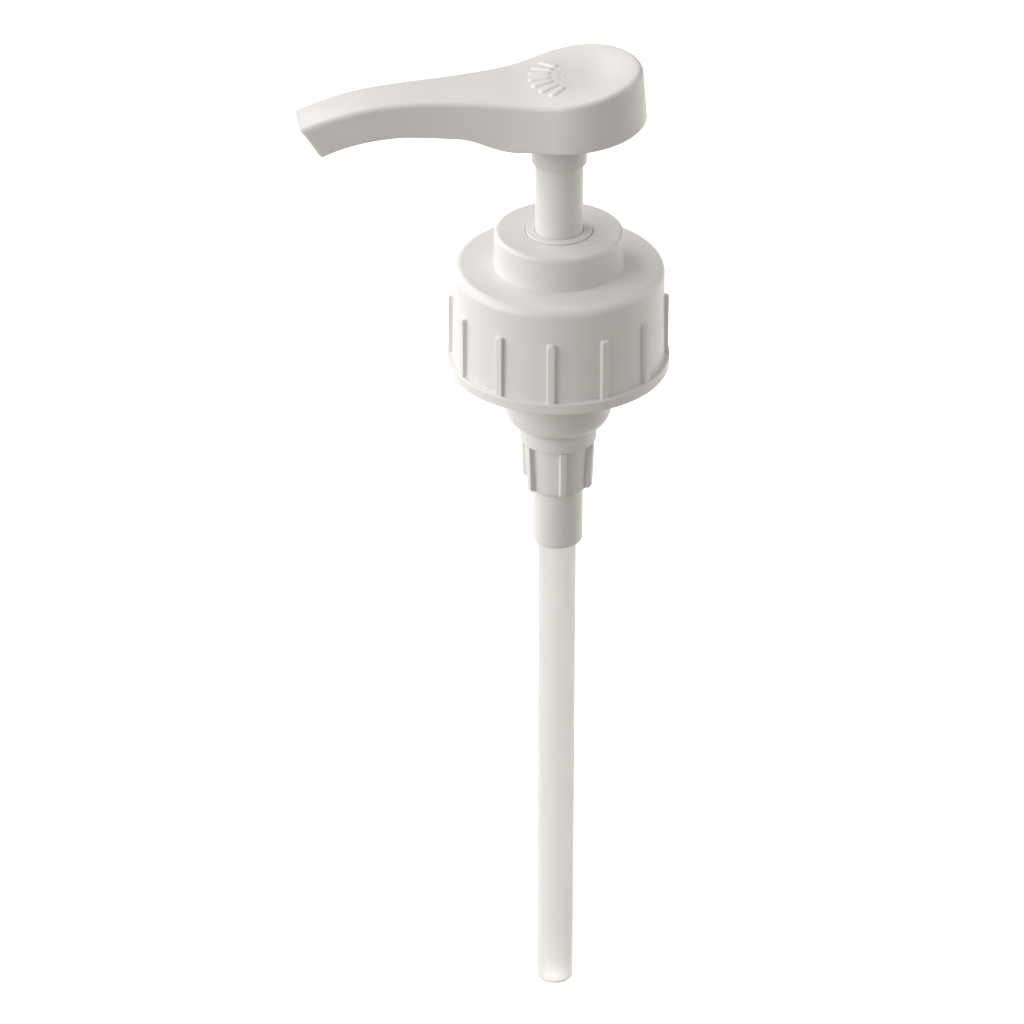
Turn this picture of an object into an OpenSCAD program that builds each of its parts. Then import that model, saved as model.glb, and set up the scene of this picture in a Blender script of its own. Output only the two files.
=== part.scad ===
// Condiment pump dispenser with a lever head, for a wide-mouth jug.
// The frame: the origin is the centre of the neck's sealing plane, +Z is up,
// and the spout points along -X. Lengths are in millimetres.

/* [Screw cap] */
// Outer radius of the cap's skirt
skirt_r = 32.9; // [32.9:0.1:34]
// Depth of the skirt below the sealing plane
skirt_depth = 28.8; // [26:0.2:30]
// Outer radius of the flange round the skirt's lower rim
rim_r = 34.8; // [34.8:0.1:36]
// Number of grip ribs on each half of the skirt
half_ribs = 6; // [4:1:8]
// Radius of the raised hub
hub_r = 20.1; // [19.9:0.1:21]
// Height of the hub's top above the sealing plane
hub_top = 17.2; // [17.2:0.1:18]
// Radius of the neck's thread, over its crests
neck_thread_r = 31.2; // [31:0.1:31.3]

/* [Pump housing] */
// Radius of the barrel's bore
bore_r = 14.75; // [14.7:0.05:14.9]
// Outer radius of the barrel
barrel_r = 16.84; // [16.7:0.02:16.84]
// Outer radius of the clamped flange
clamp_r = 30.6; // [29:0.1:30.6]
// Depth of the bell's lower end below the sealing plane
bell_depth = 50.3; // [50:0.1:52]
// Radius of the bell's lower end, and of the nut's band
bell_end_r = 12.5; // [12.5:0.1:13]

/* [Coupling nut and sleeve] */
// Height of the plain band at the nut's top
nut_band_h = 5.6; // [5:0.1:6]
// Height of the nut below the bell
nut_h = 22.55; // [20:0.05:24]
// Radius of the nut's body between its ribs, at its lower end
nut_body_r = 9.6; // [9.6:0.1:10]
// Outer radius of the inlet valve body
sleeve_r = 8.05; // [7.9:0.05:8.05]
// Depth of the inlet valve body's lower end below the sealing plane
sleeve_depth = 93.4; // [90:0.1:96]

/* [Dip tube] */
// Outer radius of the dip tube
tube_r = 6; // [5.5:0.1:6]
// Wall thickness of the dip tube
tube_wall = 1.5; // [1:0.1:1.5]
// Depth of the dip tube's end below the sealing plane
tube_depth = 264.8; // [150:0.2:300]

/* [Plunger] */
// Outer radius of the stem
stem_r = 7.4; // [7.3:0.05:7.4]
// Travel of the plunger
stroke = 22; // [10:0.5:22]
// Outer radius of the collar under the head
collar_r = 8.5; // [8.2:0.1:8.5]
// Height of the collar's lower end above the sealing plane
collar_z = 40.9; // [40.9:0.1:44]

/* [Head] */
// Radius of the round thumb paddle
paddle_r = 21; // [20:0.5:22]
// Distance from the stem to the paddle's centre, away from the spout
paddle_back = 4.5; // [4:0.5:6]
// Reach of the spout's upper end from the stem
reach = 80.5; // [75:0.5:90]
// Half the width of the spout
spout_half = 8.2; // [8:0.1:9]
// Wall thickness of the head's sides
head_wall = 2.2; // [2:0.1:2.4]
// Height of the head's top edge along the level part of the spout
head_z = 67.5; // [67.5:0.1:70]

/* [Hidden] */
$fn = 96;

// clearances: running between sliding pieces, seated between fixed ones
running = 0.05;
seated = 0.02;
snug = 0.1;

// housing and gasket
gasket_t = 1.5;
clamp_top = gasket_t + 2;
barrel_top = 13.4;
port_r = 8.2;
floor_z = -38.5;
floor_t = 2.2;
socket_top = floor_z - floor_t;
socket_r = 10.3;
bell_round = 6.5;

// cap shell
cap_wall = 1.5;
shoulder_r = 2.8;
crown_edge_z = 5.75;
crown_rise = 0.2;
rim_h = 3.5;
rib_w = 2.4;
rib_r = 34.3;
rib_top = -5.2;
rib_turn = -8.6;
rib_spread = 144;
hub_round = 1.4;
hub_hole_r = 10.5;
thread_pitch = 4.5;
thread_turns = 1.6;
thread_depth = 1;

// guide bush
bush_r = hub_hole_r - 0.15;
bush_top = hub_top + 0.5;
bush_disc_top = 15.2;
bush_skirt_r = hub_r - 2;
stop_z = 10.1;

// nut and sleeve
nut_shank_r = socket_r - snug;
nut_shank_top = -44.1;
nut_bore_r = sleeve_r + snug;
nut_ribs = 6;
nut_taper = 0.9;
valve_flange_r = 10.2;
valve_flange_top = -42.2;
valve_flange_t = 1.8;
o_ring_minor = (socket_top - valve_flange_top) / 2;
o_ring_major = 9.2;
chamber_r = 6.4;
tube_stop = -62;
channel_r = 3.2;
inlet_seat_z = -58;
inlet_ball_r = 5;
inlet_lift = 3;
seat_gap = 0.03;

// plunger
piston_top = stop_z - snug;
piston_foot = -4;
bore_end = piston_foot - stroke - 8;
piston_r = 14.2;
piston_web = 0;
hub_wall_r = 9.4;
pocket_r = 11.5;
pocket_top = 6;
groove_r = 13.2;
seal_low = 0.5;
seal_high = 6.5;
stem_bore_r = 5;
stem_top = 58.5;
bead_z = 4.5;
bead_h = 0.4;
outlet_ball_r = 3.6;
outlet_seat_z = -3;
outlet_lift = 2;
outlet_port_r = 5.4;
wiper_low = 10.6;
wiper_high = 13.4;
wiper_r = 9.5;

// spring
spring_wire = 1.5;
spring_mean_r = 10.45;
spring_turns = 8;
cage_flange_t = 1.5;
spring_low = floor_z + cage_flange_t;
spring_high = pocket_top;

// head
top_wall = 2.4;
edge_round = 2.3;
tip_corner = 2.6;
draft = 0.08;
boss_r = 10.6;
socket_high = 59.5;
ceiling_t = 4;
dish = 2.4;
crown = 0.9;
spout_crown = 0.3;
channel_half = 7.6;
outlet_w = 10;
outlet_h = 4.2;
outlet_z = 56.7;
outlet_tilt = 20;
joint_t = 4;
neck_t = 66;
side_steps = 18;
arc_steps = 12;

function smooth(s) = let (c = max(0, min(1, s))) c * c * (3 - 2 * c);
function mix(a, b, s) = a + (b - a) * s;
function arc(cx, cy, r, from, to, steps) = [
    for (i = [0:steps])
        let (a = mix(from, to, i / steps)) [cx + r * cos(a), cy + r * sin(a)]];

// distances along the head are measured from the stem towards the spout's tip

// height of the head's top edge: it falls to the tip and rises to the paddle's back
function top_edge(t) = head_z
    - 7 * pow(max(0, t - 36) / (reach - 36), 2.6)
    - 0.25 * smooth((t - 62) / 14)
    + 4.95 * smooth((17 - t) / 44);

// height of the underside: an arch under the spout, and a step down to the deeper paddle
function spout_under(t) = head_z - 10.6 - 0.045 * max(0, 50 - t)
    - 4.4 * pow(max(0, t - 45) / 29, 2)
    - 0.62 * pow(max(0, t - 58) / 12, 2);
function low_edge(t) = mix(head_z - 13.85 - 0.08 * t, spout_under(t), smooth((t - 14.4) / 17.6));

// how far the middle of the top stands above its edges: crowned, and dished at the back
function lift(t) = mix(crown, spout_crown, smooth((t - 14) / 30)) * smooth((t + 4) / 10)
    - dish * smooth((2 - t) / 18);

// half width of the top edge: it narrows from the paddle's circle to the spout
joint_half = sqrt(pow(paddle_r, 2) - pow(joint_t + paddle_back, 2));
neck_power = (joint_t + paddle_back) / joint_half * (neck_t - joint_t)
    / (joint_half - spout_half);
function half_width(t) = spout_half
    + (joint_half - spout_half) * pow(max(0, neck_t - t) / (neck_t - joint_t), neck_power)
    - 0.35 * smooth((t - 60) / 14);
function slope(t) = (half_width(t + 0.5) - half_width(t - 0.5));

// the tip is cut on a slant, so its lower edge reaches less far
function slant(t) = 7.6 * smooth((t - 50) / 40) / smooth(0.75);

// stations down one side, from the tip to the back: [t, half width, normal's t, normal's y]
tip_side = half_width(reach - tip_corner);
side = concat(
    [for (a = [0:30:60])
        [reach - tip_corner + tip_corner * cos(a),
            tip_side - tip_corner + tip_corner * sin(a), cos(a), sin(a)]],
    [for (i = [0:side_steps - 1])
        let (t = mix(reach - tip_corner, joint_t, i / side_steps),
            n = sqrt(1 + pow(slope(t), 2)))
        [t, half_width(t), -slope(t) / n, 1 / n]],
    [for (i = [0:arc_steps])
        let (a = mix(acos((joint_t + paddle_back) / paddle_r), 180, i / arc_steps))
        [paddle_r * cos(a) - paddle_back, i == arc_steps ? 0 : paddle_r * sin(a),
            cos(a), i == arc_steps ? 0 : sin(a)]]);
last = len(side) - 1;
loop_size = 2 * last + 1;

// a point of the outline, moved out along its normal, at a share of the side's height
function outline_point(s, out, share, drop) =
    let (high_t = s[0] + s[2] * out,
        low_t = high_t - slant(s[0]),
        z = mix(low_edge(low_t), top_edge(high_t), share) - drop)
    [-mix(low_t, high_t, share), s[1] + s[3] * out, z];
function mirrored(p) = [p[0], -p[1], p[2]];
function whole_loop(half) = concat(half, [for (i = [last - 1:-1:0]) mirrored(half[i])]);
function ring(out, share, drop) =
    whole_loop([for (s = side) outline_point(s, out, share, drop)]);
// a ring of the rounded top, drawn in towards the middle line
function top_ring(keep) =
    whole_loop([for (s = side)
        let (p = outline_point(s, -edge_round, 1, 0),
            mid = max(edge_round + tip_corner - reach, min(p[0], paddle_back)),
            x = mix(mid, p[0], keep))
        [x, p[1] * keep, top_edge(-x) + lift(-x) * pow(1 - keep * keep, 1.5)]]);

function ring_walls(rings) = [
    for (k = [0:rings - 2], i = [0:loop_size - 1])
        let (a = k * loop_size + i, b = k * loop_size + (i + 1) % loop_size)
        each [[a, b, a + loop_size], [b, b + loop_size, a + loop_size]]];
function ring_lid(k) = let (o = k * loop_size) [
    for (i = [0:last - 1])
        let (right = o + loop_size - 1 - i)
        each (i == last - 1 ? [[o + i, o + last, right]]
            : [[o + i, o + i + 1, right], [o + i + 1, right - 1, right]])];
function flipped(faces) = [for (f = faces) [f[2], f[1], f[0]]];

module stacked(rings) {
    points = [for (r = rings) each r];
    polyhedron(points, concat(ring_walls(len(rings)), flipped(ring_lid(0)),
        ring_lid(len(rings) - 1)));
}

module head_outer() {
    stacked(concat(
        [ring(draft * 15, 0, 0)],
        [for (a = [0:30:60]) ring(-edge_round * (1 - cos(a)), 1, edge_round * (1 - sin(a)))],
        [ring(-edge_round, 1, 0), top_ring(0.8), top_ring(0.4)]));
}

// the ceiling is thicker over the paddle, to leave room for the dish
function ceiling_ring() = whole_loop([for (s = side)
    outline_point(s, -head_wall, 1, mix(top_wall, ceiling_t, smooth((40 - s[0]) / 20)))]);

module head_cavity() {
    stacked([ring(draft * 15 - head_wall, 0, 2), ceiling_ring()]);
}

// flat-sided oval hole through the slanted end of the spout
module outlet() {
    r = outlet_h / 2;
    half = outlet_w / 2 - r;
    translate([3.5 - reach, 0, outlet_z])
        rotate([0, -outlet_tilt, 0])
            rotate([0, 90, 0])
                translate([0, 0, -6]) {
                    for (y = [-half, half])
                        translate([0, y, 0]) cylinder(r = r, h = 12, $fn = 32);
                    translate([-r, -half, 0]) cube([2 * r, 2 * half, 12]);
                }
}

// one helical ridge on the inside of the skirt, for the neck's thread
module neck_thread(crest_r, root_r, low) {
    steps = 36;
    count = round(steps * thread_turns);
    rings = [for (i = [0:count])
        let (a = 360 * i / steps, z = low + thread_pitch * i / steps,
            grow = smooth(min(i, count - i) / 5), tip = mix(root_r - 0.15, crest_r, grow))
        [for (p = [[root_r, -1.1], [tip, -0.4], [tip, 0.4], [root_r, 1.1]])
            [p[0] * cos(a), p[0] * sin(a), z + p[1]]]];
    points = [for (r = rings) each r];
    walls = [for (i = [0:count - 1], k = [0:3])
        let (a = 4 * i + k, b = 4 * i + (k + 1) % 4)
        each [[a, a + 4, b], [b, a + 4, b + 4]]];
    end = 4 * count;
    polyhedron(points, concat(walls, [[0, 1, 2], [0, 2, 3]],
        [[end, end + 2, end + 1], [end, end + 3, end + 2]]));
}

module tube(outer, inner, low, high) {
    difference() {
        translate([0, 0, low]) cylinder(r = outer, h = high - low);
        translate([0, 0, low - 1]) cylinder(r = inner, h = high - low + 2);
    }
}

module revolve(outline) {
    rotate_extrude() polygon(outline);
}

module actuator_head() {
    color("whitesmoke") difference() {
        head_outer();
        outlet();
        difference() {
            head_cavity();
            // boss round the collar
            tube(boss_r, collar_r + seated, collar_z + 14, head_z + 12);
            // the flow channel's two side walls
            for (y = [-1, 1])
                translate([-36, y * (channel_half + 0.9) - 0.8, head_z - 10])
                    cube([29, 1.6, 20]);
        }
    }
}

module spout_floor() {
    // follows the arch, a little above the spout's lower edge
    inset = 0.5;
    thick = 1.6;
    steps = 16;
    rings = [for (i = [0:steps])
        let (t = mix(reach - 8.2, 8, i / steps), z = spout_under(t) + inset,
            half = min(half_width(t) - head_wall, channel_half) - 0.05,
            high_t = i == 0 ? t + 0.7 * thick : t)
        [[-t, -half, z], [-t, half, z], [-high_t, half, z + thick], [-high_t, -half, z + thick]]];
    points = [for (r = rings) each r];
    walls = [for (i = [0:steps - 1], k = [0:3])
        let (a = 4 * i + k, b = 4 * i + (k + 1) % 4)
        each [[a, b, a + 4], [b, b + 4, a + 4]]];
    end = 4 * steps;
    color("whitesmoke") difference() {
        polyhedron(points, concat(walls, [[0, 2, 1], [0, 3, 2]],
            [[end, end + 1, end + 2], [end, end + 2, end + 3]]));
        translate([0, 0, 40]) cylinder(r = boss_r + snug, h = 40);
    }
}

module stem_socket() {
    color("whitesmoke") revolve(concat(
        [[stem_r + seated, socket_high], [stem_r + seated, collar_z]],
        arc(collar_r - 0.4, collar_z + 0.4, 0.4, -90, 0, 4),
        [[collar_r, socket_high]]));
}

module stem() {
    color("whitesmoke") {
        revolve([[stem_bore_r, piston_web + snug], [stem_r, piston_web + snug],
            [stem_r, bead_z - bead_h], [stem_r + bead_h, bead_z],
            [stem_r, bead_z + bead_h], [stem_r, stem_top], [stem_bore_r, stem_top]]);
        // fins that stop the outlet ball
        for (a = [0:120:240])
            rotate([0, 0, a])
                translate([1.5, -0.6, outlet_stop_z])
                    cube([stem_bore_r - 1.2, 1.2, 6]);
    }
}

// where a ball rests on its 45 degree seat, and where its travel ends
function ball_z(seat_z, seat_r, r) = seat_z + r * cos(45) - seat_r + r * sin(45) + seat_gap;
inlet_ball_z = ball_z(inlet_seat_z, channel_r, inlet_ball_r);
outlet_ball_z = ball_z(outlet_seat_z, 2.2, outlet_ball_r);
outlet_stop_z = outlet_ball_z + outlet_ball_r + outlet_lift + snug;
cage_foot = inlet_ball_z + inlet_ball_r + inlet_lift + snug;

module piston() {
    bore = stem_r + running;
    color("gainsboro") revolve([[bore, piston_top], [bore, bead_z + 0.6], [bore + 0.4, bead_z],
        [bore, bead_z - 0.6], [bore, piston_web], [outlet_port_r, piston_web],
        [outlet_port_r, piston_foot], [hub_wall_r, piston_foot],
        [hub_wall_r, pocket_top], [pocket_r, pocket_top], [pocket_r, piston_foot],
        [piston_r, piston_foot], [piston_r, seal_low], [groove_r, seal_low],
        [groove_r, seal_high], [piston_r, seal_high], [piston_r, piston_top]]);
}

module piston_seal() {
    // a band with two flared lips and a hollow between them
    lip = bore_r - running;
    mid = (seal_low + seal_high) / 2;
    color("ivory") revolve([[groove_r + seated, seal_low + seated],
        [piston_r, seal_low + seated], [lip, seal_low + 0.3], [lip, seal_low + 0.9],
        [groove_r + 0.7, mid - 1], [groove_r + 0.7, mid + 1], [lip, seal_high - 0.9],
        [lip, seal_high - 0.3], [piston_r, seal_high - seated],
        [groove_r + seated, seal_high - seated]]);
}

module outlet_seat() {
    color("ivory") revolve([[2.2, piston_foot], [outlet_port_r - seated, piston_foot],
        [outlet_port_r - seated, outlet_seat_z + 2.4], [4.6, outlet_seat_z + 2.4],
        [2.2, outlet_seat_z]]);
}

module outlet_ball() {
    color("silver") translate([0, 0, outlet_ball_z]) sphere(r = outlet_ball_r, $fn = 48);
}

module inlet_ball() {
    color("silver") translate([0, 0, inlet_ball_z]) sphere(r = inlet_ball_r, $fn = 48);
}

module return_spring() {
    steps = 16;
    sides = 6;
    count = steps * spring_turns;
    rise = spring_high - spring_low - spring_wire - 2 * seated;
    rings = [for (i = [0:count])
        let (a = 360 * i / steps, z = spring_low + seated + spring_wire / 2
            + rise * smooth_ends(i / count))
        [for (k = [0:sides - 1])
            let (b = 360 * k / sides, r = spring_mean_r + spring_wire / 2 * cos(b))
            [r * cos(a), r * sin(a), z + spring_wire / 2 * sin(b)]]];
    points = [for (r = rings) each r];
    walls = [for (i = [0:count - 1], k = [0:sides - 1])
        let (a = sides * i + k, b = sides * i + (k + 1) % sides)
        each [[a, b, a + sides], [b, b + sides, a + sides]]];
    start_cap = [for (k = [1:sides - 2]) [0, k + 1, k]];
    end_cap = [for (k = [1:sides - 2]) [sides * count, sides * count + k, sides * count + k + 1]];
    color("lightgray") polyhedron(points, concat(walls, start_cap, end_cap));
}
// the end turns lie nearly flat, one wire apart, and the others share the rise
end_share = 0.045;
function smooth_ends(s) = s < 1 / spring_turns ? end_share * s * spring_turns
    : s > 1 - 1 / spring_turns ? 1 - end_share * (1 - s) * spring_turns
    : mix(end_share, 1 - end_share, (s * spring_turns - 1) / (spring_turns - 2));

module ball_cage() {
    tube_in = 5.2;
    color("ivory") {
        difference() {
            union() {
                translate([0, 0, floor_z]) cylinder(r = pocket_r - 0.1, h = cage_flange_t);
                translate([0, 0, valve_flange_top + 0.1])
                    cylinder(r = port_r - snug, h = floor_z - valve_flange_top);
            }
            translate([0, 0, valve_flange_top - 1]) cylinder(r = tube_in, h = 12);
        }
        // fingers that stop the inlet ball
        for (a = [0:120:240])
            rotate([0, 0, a])
                translate([3.4, -1, cage_foot])
                    cube([2.6, 2, floor_z - cage_foot + 1]);
    }
}

module inlet_valve_body() {
    low = -sleeve_depth;
    round_r = 1;
    color("whitesmoke") revolve(concat(
        [[tube_r + seated, low]],
        arc(sleeve_r - round_r, low + round_r, round_r, -90, 0, 4),
        [[sleeve_r, valve_flange_top - valve_flange_t],
            [valve_flange_r, valve_flange_top - valve_flange_t],
            [valve_flange_r, valve_flange_top], [chamber_r, valve_flange_top],
            [chamber_r, inlet_seat_z + chamber_r - channel_r], [channel_r, inlet_seat_z],
            [channel_r, tube_stop], [tube_r + seated, tube_stop]]));
}

module valve_o_ring() {
    color("dimgray") translate([0, 0, (socket_top + valve_flange_top) / 2])
        rotate_extrude() translate([o_ring_major, 0]) circle(r = o_ring_minor - seated);
}

module coupling_nut() {
    top = -bell_depth;
    band_low = top - nut_band_h;
    low = top - nut_h;
    color("whitesmoke") {
        revolve([[nut_bore_r, low], [nut_body_r - 0.4, low], [nut_body_r, low + 0.4],
            [nut_body_r + nut_taper, band_low], [bell_end_r - 0.3, band_low], [bell_end_r, top],
            [nut_shank_r, top], [nut_shank_r, nut_shank_top], [nut_bore_r, nut_shank_top]]);
        for (i = [0:nut_ribs - 1])
            rotate([0, 0, -90 + 360 * i / nut_ribs])
                rotate([90, 0, 0])
                    translate([0, 0, -1])
                        linear_extrude(2)
                            polygon(concat([[nut_body_r - 0.8, low + 0.6]],
                                arc(bell_end_r - 2.2, low + 1.8, 1.2, -90, 0, 4),
                                [[bell_end_r - 0.3, band_low + 0.5],
                                    [nut_body_r - 0.8, band_low + 0.5]]));
    }
}

// bowl of the bell's outside, from the barrel to the nut
bell_sweep = acos(1 - (barrel_r - bell_end_r) / bell_round);
bell_start = bell_round * sin(bell_sweep) - bell_depth;

module pump_housing() {
    color("whitesmoke") difference() {
        revolve(concat(
            [[0, -bell_depth]],
            arc(barrel_r - bell_round, bell_start, bell_round, -bell_sweep, 0, 10),
            [[barrel_r, gasket_t], [clamp_r, gasket_t], [clamp_r, clamp_top - 0.8],
                [clamp_r - 0.8, clamp_top], [barrel_r, clamp_top], [barrel_r, 6],
                [barrel_r + 0.3, 6.5], [barrel_r, 7], [barrel_r, barrel_top],
                [0, barrel_top]]));
        // barrel bore, coned in to the floor
        translate([0, 0, bore_end]) cylinder(r = bore_r, h = barrel_top - bore_end + 1);
        translate([0, 0, floor_z]) cylinder(r1 = pocket_r, r2 = bore_r, h = bore_end - floor_z);
        translate([0, 0, socket_top - 1]) cylinder(r = port_r, h = floor_t + 2);
        translate([0, 0, -bell_depth - 1]) cylinder(r = socket_r, h = bell_depth + 1 + socket_top);
    }
}

module barrel_cap() {
    color("whitesmoke") revolve([[stem_r + running, wiper_high],
        [stem_r + running, bush_top - 0.3], [stem_r + running + 0.3, bush_top],
        [bush_r - 0.3, bush_top], [bush_r, bush_top - 0.3],
        [bush_r, bush_disc_top], [bush_skirt_r, bush_disc_top], [bush_skirt_r, 5],
        [barrel_r + snug, 5], [barrel_r + snug, 5.9], [barrel_r + 0.4, 6.5],
        [barrel_r + snug, 7.1], [barrel_r + snug, barrel_top + seated],
        [bore_r - running, barrel_top + seated], [bore_r - running, stop_z],
        [wiper_r + seated, stop_z], [wiper_r + seated, wiper_high]]);
}

module stem_wiper() {
    lip = stem_r + 0.03;
    color("dimgray") revolve([[lip, wiper_low + 0.4], [lip + 0.5, wiper_low],
        [wiper_r, wiper_low], [wiper_r, wiper_high - seated], [lip + 0.5, wiper_high - seated],
        [lip, wiper_high - 0.4], [lip + 0.6, (wiper_low + wiper_high) / 2]]);
}

module neck_gasket() {
    color("ivory") tube(30.2, barrel_r + snug, 0, gasket_t);
}

module screw_cap() {
    low = -skirt_depth;
    skirt_in = skirt_r - cap_wall;
    turn_r = skirt_r - shoulder_r;
    inner_round = shoulder_r - cap_wall;
    color("whitesmoke") {
        revolve(concat(
            [[skirt_in, low], [rim_r - 0.3, low], [rim_r, low + 0.3],
                [rim_r, low + rim_h - 0.4], [rim_r - 0.4, low + rim_h],
                [skirt_r + 0.3, low + rim_h]],
            arc(turn_r, crown_edge_z - shoulder_r, shoulder_r, 0, 84, 7),
            [[hub_r, crown_edge_z + crown_rise]],
            arc(hub_r - hub_round, hub_top - hub_round, hub_round, 0, 90, 4),
            [[hub_hole_r, hub_top], [hub_hole_r, bush_disc_top + snug],
                [bush_skirt_r + snug, bush_disc_top + snug],
                [bush_skirt_r + snug, clamp_top + snug]],
            arc(turn_r, clamp_top + snug - inner_round, inner_round, 90, 0, 6)));
        // two groups, with a wider gap at each parting side
        for (turn = [0, 180], i = [0:half_ribs - 1])
            rotate([0, 0, rib_turn + turn + rib_spread * i / (half_ribs - 1)])
                grip_rib();
        neck_thread(neck_thread_r - thread_depth + 0.15, skirt_in + 0.4, low + 7);
    }
}

module grip_rib() {
    low = rim_h - skirt_depth - 0.5;
    translate([skirt_r - 0.6, 0, 0]) {
        translate([0, -rib_w / 2, low])
            cube([rib_r - skirt_r + 0.6, rib_w, rib_top - rib_w / 2 - low]);
        translate([0, 0, rib_top - rib_w / 2])
            rotate([0, 90, 0])
                cylinder(r = rib_w / 2, h = rib_r - skirt_r + 0.6, $fn = 32);
    }
}

module dip_tube() {
    color("snow") tube(tube_r, tube_r - tube_wall, -tube_depth, tube_stop - seated);
}

actuator_head();
spout_floor();
stem_socket();
stem();
piston();
piston_seal();
outlet_seat();
outlet_ball();
return_spring();
ball_cage();
inlet_ball();
inlet_valve_body();
valve_o_ring();
coupling_nut();
pump_housing();
barrel_cap();
stem_wiper();
neck_gasket();
screw_cap();
dip_tube();
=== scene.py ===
import math

import bmesh
import bpy
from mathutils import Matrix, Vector


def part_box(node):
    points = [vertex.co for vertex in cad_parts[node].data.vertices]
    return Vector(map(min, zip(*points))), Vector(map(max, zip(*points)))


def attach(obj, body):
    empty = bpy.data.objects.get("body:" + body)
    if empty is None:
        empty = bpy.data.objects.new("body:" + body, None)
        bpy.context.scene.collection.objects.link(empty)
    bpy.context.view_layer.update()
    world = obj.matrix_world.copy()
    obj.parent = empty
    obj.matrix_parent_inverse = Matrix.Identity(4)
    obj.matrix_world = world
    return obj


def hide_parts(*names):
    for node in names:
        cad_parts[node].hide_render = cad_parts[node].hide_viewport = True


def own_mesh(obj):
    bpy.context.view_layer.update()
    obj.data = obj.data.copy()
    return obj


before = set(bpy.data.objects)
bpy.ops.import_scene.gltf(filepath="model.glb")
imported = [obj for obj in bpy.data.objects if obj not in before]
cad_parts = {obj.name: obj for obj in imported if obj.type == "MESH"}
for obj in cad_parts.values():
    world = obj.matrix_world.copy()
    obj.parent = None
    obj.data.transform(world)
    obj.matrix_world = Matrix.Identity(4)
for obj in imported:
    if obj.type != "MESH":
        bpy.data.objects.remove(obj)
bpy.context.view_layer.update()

# Shapes are worked out in millimetres and scaled to metres when a mesh is made.
MM = 0.001
AROUND = 160


def low(node):
    """The height of a CAD node's lowest point."""
    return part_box(node)[0].z / MM


def high(node):
    """The height of a CAD node's highest point."""
    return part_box(node)[1].z / MM


def radius(node):
    """The outer radius of a round CAD node."""
    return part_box(node)[1].y / MM


def smooth(s):
    """0 below 0, 1 above 1, with an eased rise between."""
    s = min(1.0, max(0.0, s))
    return s * s * (3 - 2 * s)


def mix(a, b, s):
    """The value a share s of the way from a to b."""
    return a + (b - a) * s


def spread(a, b, steps):
    """steps + 1 values from a to b."""
    return [mix(a, b, i / steps) for i in range(steps + 1)]


# ---------------------------------------------------------------- mesh making

def piece_from(name, points, faces, sharp_deg=40):
    """A smooth-shaded closed mesh with its normals outwards."""
    mesh = bpy.data.meshes.new(name)
    mesh.from_pydata([[c * MM for c in p] for p in points], [], faces)
    work = bmesh.new()
    work.from_mesh(mesh)
    bmesh.ops.recalc_face_normals(work, faces=work.faces)
    work.to_mesh(mesh)
    work.free()
    shade(mesh, sharp_deg)
    piece = bpy.data.objects.new(name, mesh)
    bpy.context.scene.collection.objects.link(piece)
    return piece


def shade(mesh, sharp_deg=40):
    """Smooth shading with an edge wherever the surface turns sharply."""
    mesh.polygons.foreach_set("use_smooth", [True] * len(mesh.polygons))
    mesh.set_sharp_from_angle(angle=math.radians(sharp_deg))


def bar_of_rings(name, points, n, sharp_deg=40):
    """A closed bar whose points come as rings of n, one after another."""
    last = len(points) // n - 1
    faces = [(i * n + k, i * n + (k + 1) % n, (i + 1) * n + (k + 1) % n, (i + 1) * n + k)
             for i in range(last) for k in range(n)]
    faces += [tuple(range(n)), tuple(range(last * n, last * n + n))]
    return piece_from(name, points, faces, sharp_deg)


def weighted(piece):
    """Keeps flats flat beside small rounded edges."""
    normals = piece.modifiers.new("Normals", "WEIGHTED_NORMAL")
    normals.keep_sharp = True
    return piece


def filleted(corners, step_deg=15):
    """A closed outline of (r, z, rounding) corners, each rounded by an arc."""
    outline = []
    for i, (x, y, rounding) in enumerate(corners):
        here = Vector((x, y))
        before = Vector(corners[i - 1][:2]) - here
        after = Vector(corners[(i + 1) % len(corners)][:2]) - here
        turn = math.pi - before.angle(after)
        if rounding <= 0 or turn < 0.02:
            outline.append((x, y))
            continue
        reach = rounding * math.tan(turn / 2)
        reach = min(reach, before.length * 0.49, after.length * 0.49)
        arc_r = reach / math.tan(turn / 2)
        inward = (before.normalized() + after.normalized()).normalized()
        centre = here + inward * math.hypot(arc_r, reach)
        start = here + before.normalized() * reach - centre
        end = here + after.normalized() * reach - centre
        from_a = math.atan2(start.y, start.x)
        swing = math.atan2(start.cross(end), start.dot(end))
        steps = max(2, math.ceil(math.degrees(turn) / step_deg))
        for k in range(steps + 1):
            a = from_a + swing * k / steps
            outline.append((centre.x + arc_r * math.cos(a), centre.y + arc_r * math.sin(a)))
    return outline


def lathe(name, outline, angles=None, push=None):
    """Turns a closed outline round the Z axis. push(r, z, angle) adds to the radius."""
    angles = angles or [2 * math.pi * i / AROUND for i in range(AROUND)]
    points = []
    for a in angles:
        for r, z in outline:
            out = r + push(r, z, a) if push else r
            points.append((out * math.cos(a), out * math.sin(a), z))
    n, m = len(outline), len(angles)
    faces = []
    for i in range(m):
        j = (i + 1) % m
        for k in range(n):
            q = (k + 1) % n
            faces.append((i * n + k, i * n + q, j * n + q, j * n + k))
    return weighted(piece_from(name, points, faces))


def bar_distance(u, v, half, bottom, top, corner):
    """How far a point lies outside (+) or inside (-) an upright bar with round corners."""
    across = abs(u) - half + corner
    along = abs(v - (bottom + top) / 2) - (top - bottom) / 2 + corner
    return math.hypot(max(across, 0), max(along, 0)) + min(max(across, along), 0) - corner


def raised(distance, soft):
    """1 on the bar, 0 off it, with rounded edges soft wide on each side."""
    return smooth((soft - distance) / (2 * soft))


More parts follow.
